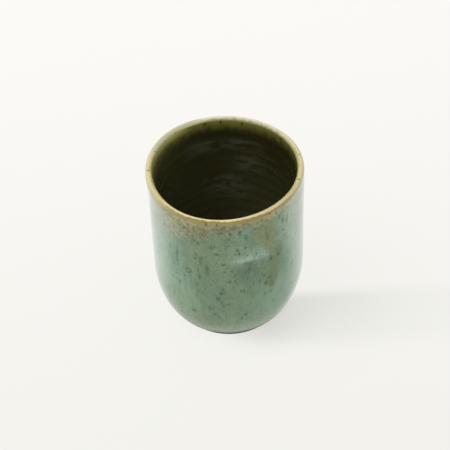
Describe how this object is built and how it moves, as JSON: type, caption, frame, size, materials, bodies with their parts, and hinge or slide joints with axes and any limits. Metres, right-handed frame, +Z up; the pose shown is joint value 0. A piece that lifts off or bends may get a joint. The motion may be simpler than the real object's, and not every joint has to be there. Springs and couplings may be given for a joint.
{
  "type": "cup",
  "caption": "Handleless stoneware tumbler with a rounded foot, a thumb dent in its wall, a sea-green outer glaze, an ochre lip and a dark glossy liner.",
  "frame": {"origin": "centre of the foot, on the plane that the cup stands on", "axes": "+Z up along the axis that the cup was thrown on; -Y is the front, and the thumb dent lies to the right of it, towards +X"},
  "size_m": [0.08, 0.08, 0.098],
  "materials": {
    "stoneware": "bare fired clay, matt and slightly gritty",
    "sea_green_glaze": "glossy, mottled sea green with dark iron specks",
    "ochre_glaze": "glossy, thin, breaking ochre over the lip",
    "dark_glaze": "very glossy, near black olive",
    "base_glaze": "glossy, pooled in the recess"
  },
  "bodies": {
    "root": {"clay_body": "stoneware", "outer_glaze": "sea_green_glaze", "lip_glaze": "ochre_glaze", "liner_glaze": "dark_glaze", "base_glaze": "base_glaze"}
  },
  "joints": []
}
